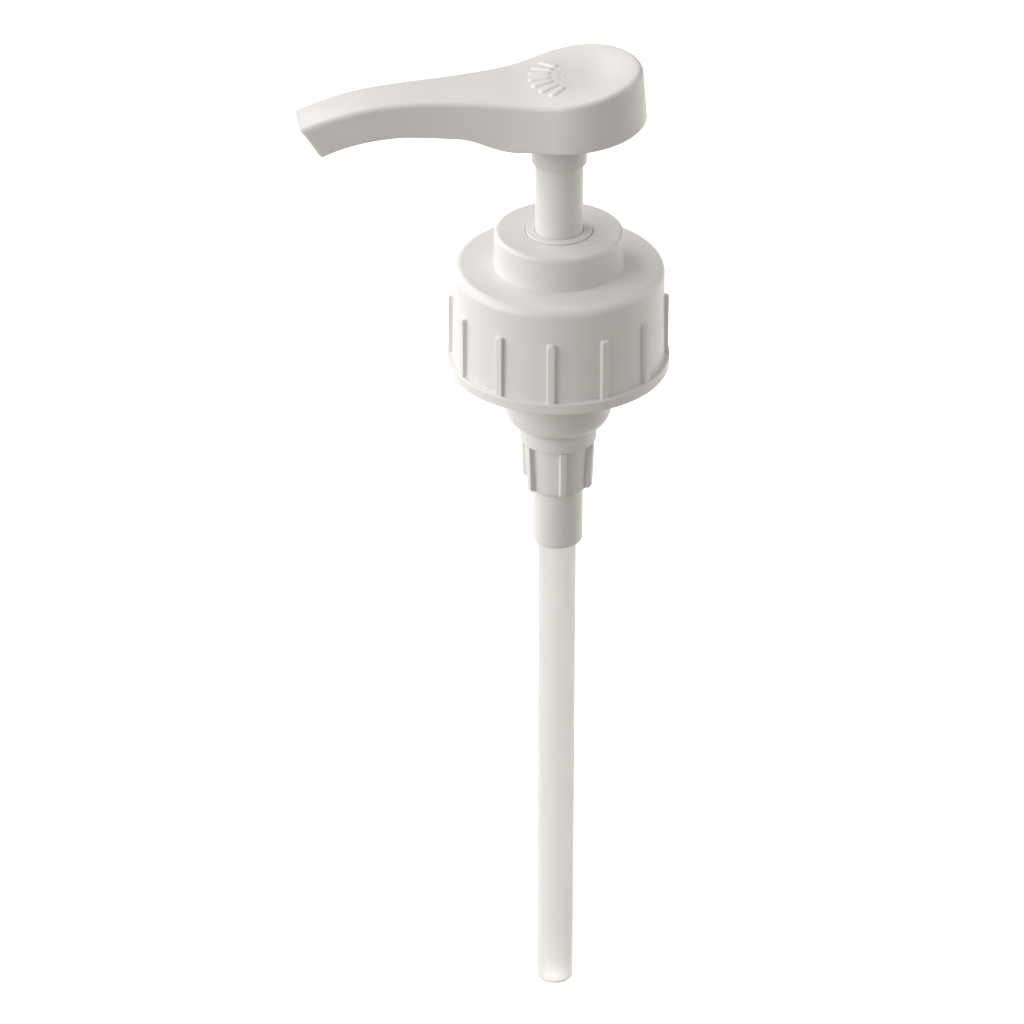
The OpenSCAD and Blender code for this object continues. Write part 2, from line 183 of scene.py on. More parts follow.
def rib_angles(turns_deg, at_r, edge, between):
    """Angles round a ribbed wall, close together at each rib's two sides."""
    near = [-edge * s for s in (1.4, 1.25, 1.16, 1.08, 1.0, 0.92, 0.84, 0.75, 0.5)]
    offsets = near + [0] + [-o for o in reversed(near)]
    rib_deg = [math.degrees(o / at_r) for o in offsets]
    angles = []
    for turn, after in zip(turns_deg, turns_deg[1:] + [turns_deg[0] + 360]):
        gap = spread(turn + rib_deg[-1], after + rib_deg[0], between)[1:-1]
        angles += [turn + d for d in rib_deg] + gap
    return [math.radians(a) for a in angles]


def rib_offset(angle, turns_deg, r):
    """Distance along the wall from the nearest rib's middle."""
    away = [(angle - math.radians(turn) + math.pi) % (2 * math.pi) - math.pi
            for turn in turns_deg]
    return min(away, key=abs) * r


# ---------------------------------------------------------------- materials

def node_tree(name):
    """A new material, its nodes and links, and its shader."""
    material = bpy.data.materials.new(name)
    material.use_nodes = True
    nodes, links = material.node_tree.nodes, material.node_tree.links
    return material, nodes, links, nodes["Principled BSDF"]


def noise(nodes, links, place, scale, detail=2.0, stretch=(1, 1, 1)):
    """Noise in the piece's own space; a small stretch value draws it out along that axis."""
    mapping = nodes.new("ShaderNodeMapping")
    mapping.inputs["Scale"].default_value = stretch
    links.new(place.outputs["Object"], mapping.inputs["Vector"])
    texture = nodes.new("ShaderNodeTexNoise")
    texture.inputs["Scale"].default_value = scale
    texture.inputs["Detail"].default_value = detail
    links.new(mapping.outputs["Vector"], texture.inputs["Vector"])
    return texture.outputs["Fac"]


def ramp(nodes, links, value, stops):
    """A colour ramp of (position, colour) stops."""
    made = nodes.new("ShaderNodeValToRGB")
    made.color_ramp.elements[0].position, made.color_ramp.elements[0].color = stops[0]
    made.color_ramp.elements[1].position, made.color_ramp.elements[1].color = stops[-1]
    for position, colour in stops[1:-1]:
        made.color_ramp.elements.new(position).color = colour
    links.new(value, made.inputs["Fac"])
    return made.outputs["Color"]


def grey(value, warm=0.0):
    """An opaque grey, less blue the warmer it is."""
    return (value, value - warm * 0.5, value - warm, 1)


def add_bumps(nodes, links, shader, layers):
    """layers of (height output, depth in metres), coarse first."""
    normal = None
    for height, depth in layers:
        bump = nodes.new("ShaderNodeBump")
        bump.inputs["Strength"].default_value = 1.0
        bump.inputs["Distance"].default_value = depth
        links.new(height, bump.inputs["Height"])
        if normal:
            links.new(normal, bump.inputs["Normal"])
        normal = bump.outputs["Normal"]
    links.new(normal, shader.inputs["Normal"])


def moulded_plastic(name, tone, warm, rough, milky=0.12, grain=1.0):
    """Satin injection moulding: faint blotches, slight sink and a fine grain.

    tone is its lightness, warm its yellowness, milky how far light soaks in.
    """
    material, nodes, links, shader = node_tree(name)
    place = nodes.new("ShaderNodeTexCoord")
    blotch = noise(nodes, links, place, 55, 3)
    links.new(ramp(nodes, links, blotch, [(0.3, grey(tone * 0.985, warm)), (0.7, grey(tone, warm))]),
              shader.inputs["Base Color"])
    sheen = noise(nodes, links, place, 160, 4)
    links.new(ramp(nodes, links, sheen, [(0.25, grey(rough - 0.05)), (0.75, grey(rough + 0.06))]),
              shader.inputs["Roughness"])
    shader.inputs["IOR"].default_value = 1.49
    shader.inputs["Subsurface Weight"].default_value = milky
    shader.inputs["Subsurface Radius"].default_value = (1.0, 0.92, 0.8)
    shader.inputs["Subsurface Scale"].default_value = 0.0016
    add_bumps(nodes, links, shader, [
        (noise(nodes, links, place, 90, 1), 0.00002),
        (noise(nodes, links, place, 2600, 2), 0.0000045 * grain)])
    return material


def natural_tube():
    """Milky extruded polyethylene with faint die lines along its length."""
    material, nodes, links, shader = node_tree("natural_tube")
    place = nodes.new("ShaderNodeTexCoord")
    cloud = noise(nodes, links, place, 70, 3)
    links.new(ramp(nodes, links, cloud, [(0.3, grey(0.93, 0.02)), (0.7, grey(0.96, 0.015))]),
              shader.inputs["Base Color"])
    streak = noise(nodes, links, place, 900, 3, (1, 1, 0.012))
    links.new(ramp(nodes, links, streak, [(0.3, grey(0.3)), (0.7, grey(0.4))]),
              shader.inputs["Roughness"])
    shader.inputs["IOR"].default_value = 1.51
    shader.inputs["Transmission Weight"].default_value = 0.7
    shader.inputs["Subsurface Weight"].default_value = 0.35
    shader.inputs["Subsurface Radius"].default_value = (1.0, 0.95, 0.86)
    shader.inputs["Subsurface Scale"].default_value = 0.002
    add_bumps(nodes, links, shader, [
        (streak, 0.00001),
        (noise(nodes, links, place, 2200, 2), 0.000003)])
    return material


def steel(name, rough, stretch):
    """Drawn or polished stainless steel with fine lines."""
    material, nodes, links, shader = node_tree(name)
    place = nodes.new("ShaderNodeTexCoord")
    lines = noise(nodes, links, place, 1500, 3, stretch)
    links.new(ramp(nodes, links, lines, [(0.3, grey(0.58, 0.01)), (0.7, grey(0.68, 0.01))]),
              shader.inputs["Base Color"])
    links.new(ramp(nodes, links, lines, [(0.3, grey(rough - 0.04)), (0.7, grey(rough + 0.08))]),
              shader.inputs["Roughness"])
    shader.inputs["Metallic"].default_value = 1.0
    add_bumps(nodes, links, shader, [(lines, 0.000004)])
    return material


def rubber():
    """Matt black seal rubber with a faint bloom."""
    material, nodes, links, shader = node_tree("seal_rubber")
    place = nodes.new("ShaderNodeTexCoord")
    bloom = noise(nodes, links, place, 300, 4)
    links.new(ramp(nodes, links, bloom, [(0.3, grey(0.022)), (0.75, grey(0.04))]),
              shader.inputs["Base Color"])
    links.new(ramp(nodes, links, bloom, [(0.3, grey(0.55)), (0.7, grey(0.7))]),
              shader.inputs["Roughness"])
    add_bumps(nodes, links, shader, [(noise(nodes, links, place, 3000, 2), 0.000008)])
    return material


def gasket_foam():
    """Closed-cell foam sheet with small cells."""
    material, nodes, links, shader = node_tree("gasket_foam")
    place = nodes.new("ShaderNodeTexCoord")
    cells = nodes.new("ShaderNodeTexVoronoi")
    cells.inputs["Scale"].default_value = 2200
    links.new(place.outputs["Object"], cells.inputs["Vector"])
    links.new(ramp(nodes, links, cells.outputs["Distance"],
                   [(0.0, grey(0.66, 0.03)), (0.6, grey(0.78, 0.03))]),
              shader.inputs["Base Color"])
    shader.inputs["Roughness"].default_value = 0.75
    add_bumps(nodes, links, shader, [(cells.outputs["Distance"], 0.00002)])
    return material


WHITE = moulded_plastic("white_moulding", tone=0.72, warm=0.022, rough=0.36)
# Painted shade: the head's copy of the same white plastic is given a darker tone, so that its sides
# come out darker than the light alone makes them.
HEAD_WHITE_PAINTED_SHADE = moulded_plastic("head_moulding_painted_shade", tone=0.67, warm=0.022, rough=0.36)
# Painted light: the stem's copy of the same white plastic is given a lighter tone, so that it looks
# brighter where the head shades it.
STEM_WHITE_PAINTED_LIGHT = moulded_plastic("stem_moulding_painted_light", tone=0.76, warm=0.022, rough=0.34, grain=0.6)
WAXY = moulded_plastic("waxy_moulding", tone=0.68, warm=0.05, rough=0.45, milky=0.3)
TUBE = natural_tube()
WIRE = steel("spring_wire", rough=0.22, stretch=(1, 1, 1))
BALL = steel("ball_steel", rough=0.1, stretch=(1, 1, 0.2))
RUBBER = rubber()
FOAM = gasket_foam()


def finish_extra(piece, material, body):
    """Gives a piece its material and lets it ride a body."""
    piece.data.materials.clear()
    piece.data.materials.append(material)
    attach(piece, body)


def finish_piece(piece, material, body, node):
    """A detailed piece that stands for a CAD node."""
    finish_extra(piece, material, body)
    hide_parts(node)
    return piece


def finish_cad(node, material):
    """A CAD node that stays keeps its mesh and gets a better material."""
    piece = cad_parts[node]
    piece.data.materials.clear()
    piece.data.materials.append(material)
    shade(piece.data, 30)


# ---------------------------------------------------------------- screw cap

# two groups of grip ribs, with a wider gap at each parting side
GRIP_START, GRIP_STEP, GRIP_HALF = -8.6, 28.8, 1.2
GRIP_TURNS = [GRIP_START + half + GRIP_STEP * i for half in (0, 180) for i in range(6)]
CAP_WALL = 3.4


def screw_cap():
    """The closure: a ribbed skirt, a round-shouldered crown and a raised hub with a hole."""
    rim_low = low("screw_cap")
    rim_r = radius("screw_cap")
    hub_top = high("screw_cap")
    skirt_top_r = rim_r - 1.9
    skirt_low_r = rim_r - 1.6
    skirt_in = rim_r - CAP_WALL
    flange_top = rim_low + 3.5
    crown_z = hub_top - 11.45
    rib_top = hub_top - 22.4
    rib_r = rim_r - 0.5
    hub_r, hole_r = 20.1, 10.5
    inner_hub_r = hub_r - 1.9
    ceiling = high("neck_gasket") + 2.1
    hub_ceiling = hub_top - 1.9
    near = (0.08, 0.15, 0.22, 0.32, 0.5, 0.9)
    skirt_rows = [flange_top + 0.35, flange_top + 0.8, flange_top + 2.0]
    skirt_rows += spread(flange_top + 4, rib_top - 3, 8) + [rib_top - 1.5]
    skirt_rows += [rib_top - d for d in reversed(near)] + [rib_top]
    skirt_rows += [rib_top + d for d in near]

    def skirt_at(z):
        return mix(skirt_low_r, skirt_top_r, min(1, (z - flange_top) / (rib_top - flange_top)))

    outside = filleted([
        (skirt_in, rim_low, 0.3), (rim_r, rim_low, 0.4), (rim_r, flange_top, 0.3),
        (skirt_at(flange_top), flange_top, 0.2), (skirt_top_r, flange_top + 9, 0)], 12)[:-1]
    upper = filleted([
        (skirt_top_r, rib_top + 1.5, 0), (skirt_top_r, crown_z, 2.8),
        (hub_r, crown_z + 0.2, 0.22), (hub_r, hub_top, 1.4), (hole_r, hub_top, 0.15),
        (hole_r, hub_ceiling, 0.1), (inner_hub_r, hub_ceiling, 0.4),
        (inner_hub_r, ceiling, 0.2), (skirt_in, ceiling, 1.3), (skirt_in, rim_low + 12, 0)], 10)
    outline = outside + [(skirt_at(z), z) for z in skirt_rows] + upper

    def ribs(r, z, a):
        if not skirt_in + 0.8 < r < skirt_low_r + 0.3:
            return 0.0
        if not flange_top - 0.3 < z < rib_top + 1:
            return 0.0
        along = rib_offset(a, GRIP_TURNS, r)
        away = bar_distance(along, z, GRIP_HALF, rim_low - 2, rib_top, 0.75)
        return (rib_r - r) * raised(away, 0.24)

    angles = rib_angles(GRIP_TURNS, skirt_top_r, GRIP_HALF, 12)
    return lathe("screw_cap_shell", outline, angles, ribs)


def neck_thread():
    """The helical ridge that takes the jug's neck."""
    root_r = radius("screw_cap") - CAP_WALL + 0.3
    crest_r = root_r - 1.35
    pitch, turns, steps = 4.5, 1.6, 96
    start_z = low("screw_cap") + 7
    section = filleted([(root_r, -1.15, 0), (crest_r, -0.45, 0.25),
                        (crest_r, 0.45, 0.25), (root_r, 1.15, 0)], 30)
    count = round(steps * turns)
    points = []
    for i in range(count + 1):
        a = 2 * math.pi * i / steps
        # the ridge swells from nothing at each end
        grow = smooth(min(i, count - i) / 12)
        for r, z in section:
            out = mix(root_r - 0.05, r, grow) if r < root_r else r
            points.append((out * math.cos(a), out * math.sin(a),
                           start_z + pitch * i / steps + z * mix(0.4, 1, grow)))
    return bar_of_rings("screw_cap_thread", points, len(section))


# ---------------------------------------------------------------- pump housing and nut

def pump_housing():
    """The barrel: a clamped flange at the top, a rounded bell and the valve's socket below."""
    bell_low = low("pump_housing")
    top = high("pump_housing")
    clamp_r = radius("pump_housing")
    barrel_r, bore_r, bell_end_r, bell_round = 16.84, 14.75, 12.5, 6.5
    gasket_top = high("neck_gasket")
    clamp_top = gasket_top + 2
    sweep = math.acos(1 - (barrel_r - bell_end_r) / bell_round)
    bell_start = bell_low + bell_round * math.sin(sweep)
    bowl = [(barrel_r - bell_round + bell_round * math.cos(a), bell_start + bell_round * math.sin(a))
            for a in spread(-sweep, 0, 20)]
    cage_low, socket_top = high("ball_cage") - 1.5, high("valve_o_ring")
    funnel_r, throat_r, socket_r = 11.5, 8.2, 10.3
    inside = filleted([
        (barrel_r, gasket_top, 0.3), (clamp_r, gasket_top, 0.2), (clamp_r, clamp_top - 0.8, 0.2),
        (clamp_r - 0.8, clamp_top, 0.2), (barrel_r, clamp_top, 0.5), (barrel_r, top, 0.3),
        (bore_r, top, 0.3), (bore_r, cage_low + 4.5, 0.6), (funnel_r, cage_low, 0.3),
        (throat_r, cage_low, 0.3), (throat_r, socket_top, 0.2), (socket_r, socket_top, 0.3),
        (socket_r, bell_low, 0.2), (bell_end_r, bell_low, 0.15)], 12)
    return lathe("pump_housing_body", bowl[1:] + inside)


NUT_TURNS = [-90 + 60 * i for i in range(6)]
NUT_RIB_HALF = 0.9


def coupling_nut():
    """The nut that clamps the valve body: a plain band, tapered ribbed sides and a shank."""
    top = low("pump_housing") - 0.04
    bottom = low("coupling_nut")
    shank_top = high("coupling_nut")
    band_r, lip_r, bore_r, shank_r = 12.46, 12.2, 8.15, 10.2
    band_low = top - 5.6

    def body_r(z):
        return mix(9.6, 10.5, (z - bottom) / (band_low - bottom))

    rows = [band_low + d for d in (-0.35, -0.6, -1)]
    rows += spread(band_low - 2, bottom + 3.5, 6)
    rows += [bottom + d for d in (2.8, 2.2, 1.8, 1.4, 1.1, 0.85, 0.6)]
    outline = filleted([
        (body_r(bottom + 0.7), bottom + 0.7, 0), (body_r(bottom), bottom, 0.5),
        (bore_r, bottom, 0.3), (bore_r, shank_top, 0.3), (shank_r, shank_top, 0.4),
        (shank_r, top, 0.1), (band_r, top, 0.3), (lip_r, band_low, 0.4),
        (body_r(band_low), band_low, 0.25)], 12)
    outline += [(body_r(z), z) for z in rows]

    def ribs(r, z, a):
        if not 9 < r < lip_r - 0.1 or not bottom + 0.001 < z < band_low - 0.04:
            return 0.0
        corner = 1.3
        down = min(corner, max(0.0, bottom + 0.35 + corner - z))
        outer = mix(11.5, 12.15, (z - bottom) / (band_low - bottom))
        outer -= corner - math.sqrt(corner ** 2 - down ** 2)
        away = abs(rib_offset(a, NUT_TURNS, r)) - NUT_RIB_HALF
        return max(0.0, outer - r) * raised(away, 0.2) * smooth((z - bottom) / 0.5)

    angles = rib_angles(NUT_TURNS, 10, NUT_RIB_HALF, 16)
    return lathe("coupling_nut_body", outline, angles, ribs)


def inlet_valve_body():
    """The smooth sleeve: a flange at the top, the lower ball's seat, and the tube's socket."""
    bottom, top = low("inlet_valve_body"), high("inlet_valve_body")
    stop = high("dip_tube") + 0.02
    seat, flange_low = stop + 4, top - 1.8
    tube_r, sleeve_r, flange_r = radius("dip_tube") + 0.02, 8.05, 10.2
    chamber_r, channel_r = 6.4, 3.2
    return lathe("inlet_valve_sleeve", filleted([
        (tube_r, bottom, 0.3), (sleeve_r, bottom, 1.1), (sleeve_r, flange_low, 0.2),
        (flange_r, flange_low, 0.2), (flange_r, top, 0.3), (chamber_r, top, 0.2),
        (chamber_r, seat + channel_r, 0.2), (channel_r, seat, 0.2), (channel_r, stop, 0.1),
        (tube_r, stop, 0.1)], 12))


def dip_tube():
    """The long tube, with its two cut ends barely rounded."""
    bottom, top = low("dip_tube"), high("dip_tube")
    outer = radius("dip_tube")
    inner = outer - 1.5
    return lathe("dip_tube_wall", filleted([
        (inner, bottom, 0.15), (outer, bottom, 0.2), (outer, top, 0.2), (inner, top, 0.15)]))


# ---------------------------------------------------------------- guide bush, stem, collar

STEM_R = 7.4


def barrel_cap():
    """The guide bush: its top stands a little proud of the hub as a rounded ring."""
    top = high("barrel_cap")
    bottom = low("barrel_cap")
    disc_top = high("screw_cap") - 2
    under = high("pump_housing") + 0.02
    stop = bottom + 5.1
    wiper_top = high("stem_wiper") + 0.02
    hole_r, ring_r, wiper_r = STEM_R + 0.05, 10.35, 9.52
    disc_r, rim_in_r, plug_r = 18.1, 16.94, 14.7
    return lathe("guide_bush", filleted([
        (hole_r, wiper_top, 0.1), (hole_r, top, 0.45), (ring_r, top, 0.35),
        (ring_r, disc_top, 0.1), (disc_r, disc_top, 0.4), (disc_r, bottom, 0.3),
        (rim_in_r, bottom, 0.2), (rim_in_r, under, 0.1), (plug_r, under, 0.1),
        (plug_r, stop, 0.3), (wiper_r, stop, 0.2), (wiper_r, wiper_top, 0.1)], 12))


def stem():
    """The hollow plunger rod, with the bead that snaps in the piston."""
    bottom, top = low("stem"), high("stem")
    bead, bead_r, bore_r = bottom + 4.4, STEM_R + 0.4, 5
    return lathe("stem_tube", filleted([
        (bore_r, bottom, 0.2), (STEM_R, bottom, 0.3), (STEM_R, bead - 0.4, 0.1),
        (bead_r, bead, 0.15), (STEM_R, bead + 0.4, 0.1), (STEM_R, top, 0.3),
        (bore_r, top, 0.2)], 15))


def stem_socket():
    """The collar under the head, pressed on the stem."""
    bottom, top = low("stem_socket"), high("stem_socket")
    inner, outer = STEM_R + 0.02, radius("stem_socket")
    return lathe("head_collar", filleted([
        (inner, bottom, 0.25), (outer, bottom, 0.35), (outer, top, 0.3), (inner, top, 0.2)], 10))


def smooth_line(s):
    """Nearly straight, with its two ends eased."""
    return mix(s, smooth(s), 0.15)


def return_spring():
    """A round wire helix whose end turns lie nearly flat."""
    bottom, top = low("return_spring"), high("return_spring")
    wire, mean_r, turns, steps, sides = 1.5, 10.45, 8, 64, 14
    rise = top - bottom - wire
    end_share = 0.045
    count = steps * turns

    def climb(turn):
        if turn < 1:
            return end_share * turn
        if turn > turns - 1:
            return 1 - end_share * (turns - turn)
        return mix(end_share, 1 - end_share, smooth_line((turn - 1) / (turns - 2)))

    points = []
    for i in range(count + 1):
        a = 2 * math.pi * i / steps
        z = bottom + wire / 2 + rise * climb(i / steps)
        for k in range(sides):
            b = 2 * math.pi * k / sides
            r = mean_r + wire / 2 * math.cos(b)
            points.append((r * math.cos(a), r * math.sin(a), z + wire / 2 * math.sin(b)))
    return bar_of_rings("spring_coil", points, sides)


# ---------------------------------------------------------------- head

# Distances along the head, t, run from the stem towards the spout's tip.
REACH = -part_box("actuator_head")[0].x / MM
HEAD_Z = 67.5
PADDLE_R = 21
PADDLE_BACK = 4.5       # how far the paddle's round back is centred behind the stem
JOINT_T = 4             # where the paddle's arc meets the neck's curve
NECK_T = 66             # where the neck has narrowed to the spout's width
SPOUT_HALF = 8.2
HEAD_WALL = 2.2
TOP_WALL = 2.4
EDGE = 2.0              # rounding of the top edge
TIP_ROUND = 0.6
DRAFT = 1.2             # how far a side leans in over its height
BOSS_R = 10.6
joint_half = math.sqrt(PADDLE_R ** 2 - (JOINT_T + PADDLE_BACK) ** 2)
neck_power = ((JOINT_T + PADDLE_BACK) / joint_half * (NECK_T - JOINT_T)
              / (joint_half - SPOUT_HALF))


def top_edge(t):
    """Height of the top's edge: highest at the paddle, bowed down at the tip."""
    fall = 7 * (max(0, t - 36) / (REACH - 36)) ** 2.6 + 0.25 * smooth((t - 62) / 14)
    return HEAD_Z - fall + 4.93 * smooth((17 - t) / 44)


def spout_under(t):
    """Height of the spout's arched underside."""
    fall = 4.4 * (max(0, t - 45) / 29) ** 2 + 0.62 * (max(0, t - 58) / 12) ** 2
    return HEAD_Z - 10.6 - 0.045 * max(0, 50 - t) - fall


def low_edge(t):
    """Height of the sides' lower edge, from the deep paddle up to the arch."""
    return mix(HEAD_Z - 13.85 - 0.08 * t, spout_under(t), smooth((t - 14.4) / 17.6))


def half_width(t):
    """Half the width over the neck and the spout."""
    narrowing = (max(0, NECK_T - t) / (NECK_T - JOINT_T)) ** neck_power
    return SPOUT_HALF + (joint_half - SPOUT_HALF) * narrowing - 0.35 * smooth((t - 60) / 14)


def slant(t):
    """The tip is cut on a slant, so its lower edge reaches less far."""
    return 7.6 * smooth((t - 50) / 40) / smooth(0.75)


def ceiling(t):
    """Height of the shell's inner top."""
    return top_edge(t) - TOP_WALL - 1.6 * smooth((40 - t) / 20)


def head_stations():
    """Down one side from the tip to the back: (t, half width, normal along t, normal across)."""
    stations = []
    finer = 20
    along = spread(REACH - TIP_ROUND, finer, 56)[:-1] + spread(finer, JOINT_T, 60)[:-1]
    for t in along:
        slope = half_width(t + 0.5) - half_width(t - 0.5)
        size = math.hypot(1, slope)
        stations.append((t, half_width(t), -slope / size, 1 / size))
    start = math.acos((JOINT_T + PADDLE_BACK) / PADDLE_R)
    for a in spread(start, math.pi, 112):
        stations.append((PADDLE_R * math.cos(a) - PADDLE_BACK, PADDLE_R * math.sin(a),
                         math.cos(a), math.sin(a)))
    t, _, n, _ = stations[-1]
    stations[-1] = (t, 0.0, n, 0.0)
    return stations


def head_point(station, out, share, drop=0.0, end_out=0.0):
    """A point moved out from the outline, at a share of the side's height less a drop.

    The side leans in by the draft up to where the top edge's rounding starts.
    """
    t, half, normal_t, normal_y = station
    low_z, top_z = low_edge(t - slant(t)), top_edge(t)
    height = top_z - low_z
    up = share - drop / height
    lean = DRAFT * max(0.0, 1 - up * height / (height - EDGE))
    high_t = t + normal_t * (out + lean) + (end_out + lean) * smooth((t - REACH + 20) / 20)
    low_t = high_t - slant(t)
    z = mix(low_edge(low_t), top_edge(high_t), share) - drop
    return (-mix(low_t, high_t, up), half + normal_y * (out + lean), z)


def end_bulge(y, z, half, top):
    """How far the end face stands out past its rounded outline."""
    inside = min(half - abs(y), top - z)
    beyond_y, beyond_z = abs(y) - half + EDGE, z - top + EDGE
    if beyond_y > 0 and beyond_z > 0:
        inside = EDGE - math.hypot(beyond_y, beyond_z)
    inside = min(max(inside, 0.0), TIP_ROUND)
    return math.sqrt(TIP_ROUND ** 2 - (TIP_ROUND - inside) ** 2)


def lift(t):
    """How far the middle of the top stands above its edges: dished at the back."""
    crown = mix(0.9, 0.3, smooth((t - 14) / 30)) * smooth((t + 4) / 10)
    return crown * smooth((REACH - 1 - t) / 5) - 2.4 * smooth((2 - t) / 18)


def top_share(t, y, half):
    """0 at the rim, 1 in the middle of the top."""
    if t > -PADDLE_BACK:
        q = abs(y) / half if half else 1.0
    else:
        q = math.hypot(t + PADDLE_BACK, y) / (PADDLE_R - EDGE)
    return max(0.0, 1 - q * q) ** 1.5


FAN_BACK = 6.4          # the fan's centre, behind the stem
FAN_BARS = [math.radians(turn) for turn in spread(-48, 48, 6)]
FAN_IN, FAN_OUT, BAR_HALF, BAR_HEIGHT = 9.4, 16, 1.0, 0.4
RING_R, RING_DEPTH = 6.25, 0.12


def relief(t, y):
    """Raised grip bars fanned on the spout's side of the paddle, and half a moulding ring."""
    along_head = t + FAN_BACK
    from_centre = math.hypot(along_head, y)
    ring = math.exp(-((from_centre - RING_R) / 0.25) ** 2) * smooth((along_head + 1) / 4)
    bars = 0.0
    if FAN_IN - 1.4 < from_centre < FAN_OUT + 2:
        for a in FAN_BARS:
            along = along_head * math.cos(a) + y * math.sin(a)
            across = y * math.cos(a) - along_head * math.sin(a)
            away = bar_distance(across, along, BAR_HALF, FAN_IN, FAN_OUT, 0.8)
            bars = max(bars, raised(away, 0.26))
    return BAR_HEIGHT * bars - RING_DEPTH * ring


def top_point(x, y, half):
    """A point of the top face, dished or crowned, with its relief."""
    t = -x
    return (x, y, top_edge(t) + lift(t) * top_share(t, y, half) + relief(t, y))


def head_rings(side, columns):
    """Closed rings over the head, from the ceiling's edge round to the top's edge."""
    outer_half = side[0][1]
    tip_top = top_edge(side[0][0])

    def loop(half_points, bulge_half=None):
        """Left side, back, right side, then across the tip."""
        right = [(x, -y, z) for x, y, z in reversed(half_points[:-1])]
        x, y, z = half_points[0]
        tip = []
        for j in range(1, columns):
            at = y * (2 * j / columns - 1)
            bulge = end_bulge(at, z, bulge_half, tip_top) if bulge_half else 0.0
            tip.append((x - bulge, at, z))
        return half_points + right + tip

    def wall(share, inset, drop=0.0, outer=True):
        """A ring a share of the way up the sides, set in from the outside."""
        made = [head_point(s, -inset, share, drop, -inset) for s in side]
        return loop(made, made[0][1] if outer else None)

    def under_ceiling():
        """The ring where the inner walls meet the ceiling."""
        made = [head_point(s, -HEAD_WALL, 1, TOP_WALL, -HEAD_WALL) for s in side]
        return loop([(x, y, ceiling(-x)) for x, y, z in made])

    def top_edge_ring(a):
        """A ring at angle a round the top edge's rounding."""
        out = EDGE * (1 - math.cos(a))
        made = [head_point(s, -out, 1, EDGE * (1 - math.sin(a))) for s in side]
        return loop(made, outer_half)

    rings = [under_ceiling(), wall(0.6, HEAD_WALL, outer=False), wall(0.3, HEAD_WALL, outer=False),
             wall(0, HEAD_WALL, -0.35, False), wall(0, HEAD_WALL - 0.1, -0.1, False),
             wall(0, HEAD_WALL - 0.35, 0, False),
             wall(0, 0.35), wall(0, 0.1, -0.1), wall(0, 0, -0.35)]
    rings += [wall(share, 0) for share in spread(0.08, 0.72, 6)]
    rings += [top_edge_ring(a) for a in spread(0, math.pi / 2, 9)]
    return rings


def outlet_cutter():
    """Flat-sided oval bar through the slanted end of the spout."""
    tilt, half, r, length = math.radians(20), 2.9, 2.1, 12
    along = Vector((math.cos(tilt), 0, math.sin(tilt)))
    up = Vector((-math.sin(tilt), 0, math.cos(tilt)))
    centre = Vector((3.5 - REACH, 0, 56.7))
    oval = [(half + r * math.cos(a), r * math.sin(a)) for a in spread(-math.pi / 2, math.pi / 2, 16)]
    oval += [(-y, -w) for y, w in oval]
    points = [centre + along * u + Vector((0, y, 0)) + up * w
              for u in (-length / 2, length / 2) for y, w in oval]
    return bar_of_rings("outlet_cutter", points, len(oval))


def cut_away(piece, cutter):
    """Cuts one closed mesh out of another and keeps the result as the piece's mesh."""
    modifier = piece.modifiers.new("Cut", "BOOLEAN")
    modifier.object = cutter
    modifier.solver = "EXACT"
    seen = piece.evaluated_get(bpy.context.evaluated_depsgraph_get())
    made = bpy.data.meshes.new_from_object(seen)
    piece.modifiers.clear()
    piece.data = made
    bpy.data.objects.remove(cutter)


def actuator_head():
    """The paddle and spout: one hollow shell, open underneath, with the outlet cut through."""
    side = head_stations()
    last = len(side) - 1
    columns = 144
    rings = head_rings(side, columns)
    points = [p for r in rings for p in r]
    size = len(rings[0])
    faces = []
    for k in range(len(rings) - 1):
        for i in range(size):
            j = (i + 1) % size
            faces.append((k * size + i, k * size + j, (k + 1) * size + j, (k + 1) * size + i))

    def lid(ring_at, height):
        """Rows of faces across between the two sides of a ring."""
        first = ring_at * size
        rim = rings[ring_at]
        table = [[first + 2 * last] + [first + 2 * last + j for j in range(1, columns)] + [first]]
        for i in range(1, last):
            x, half = rim[i][0], rim[i][1]
            made = [first + 2 * last - i]
            for j in range(1, columns):
                made.append(len(points))
                points.append(height(x, half * (2 * j / columns - 1), half))
            table.append(made + [first + i])
        for a, b in zip(table, table[1:]):
            faces.extend((a[j], a[j + 1], b[j + 1], b[j]) for j in range(columns))
        end = table[-1]
        faces.extend((end[j], end[j + 1], first + last) for j in range(columns))

    lid(len(rings) - 1, top_point)
    lid(0, lambda x, y, half: (x, y, ceiling(-x)))
    head = piece_from("head_shell", points, faces, 50)
    cut_away(head, outlet_cutter())
    shade(head.data, 50)
    return head


def head_boss():
    """Ring under the ceiling that holds the collar."""
    bottom, inner = low("stem_socket") + 14, radius("stem_socket") + 0.02
    top = ceiling(BOSS_R) + 0.3
    return lathe("head_boss", filleted([
        (inner, bottom, 0.3), (BOSS_R, bottom, 0.4), (BOSS_R, top, 0.1), (inner, top, 0.1)], 12))


CHANNEL_HALF = 7.6      # half the flow channel's width


def inner_half(t, z):
    """Half the width inside the shell, which the side's draft makes wider lower down."""
    low, top = low_edge(t), top_edge(t)
    return half_width(t) - HEAD_WALL + DRAFT * max(0.0, 1 - (z - low) / (top - low - EDGE))


def channel_wall(name, side):
    """One side wall of the flow channel, from inside the boss to where the shell takes over."""
    inner = CHANNEL_HALF + 0.1
    points = []
    for t in spread(4.9, 48, 30):
        top, bottom = ceiling(t) + 0.3, spout_under(t) + 0.9
        outer = min(inner + 1.6, half_width(t) - 0.8)
        corner = min(0.25, (outer - inner) / 3)
        outline = [(inner, top), (inner, bottom + corner), (inner + corner, bottom),
                   (outer - corner, bottom), (outer, bottom + corner), (outer, top)]
        points += [(-t, side * y, z) for y, z in outline]
    return bar_of_rings(name, points, len(outline), 35)


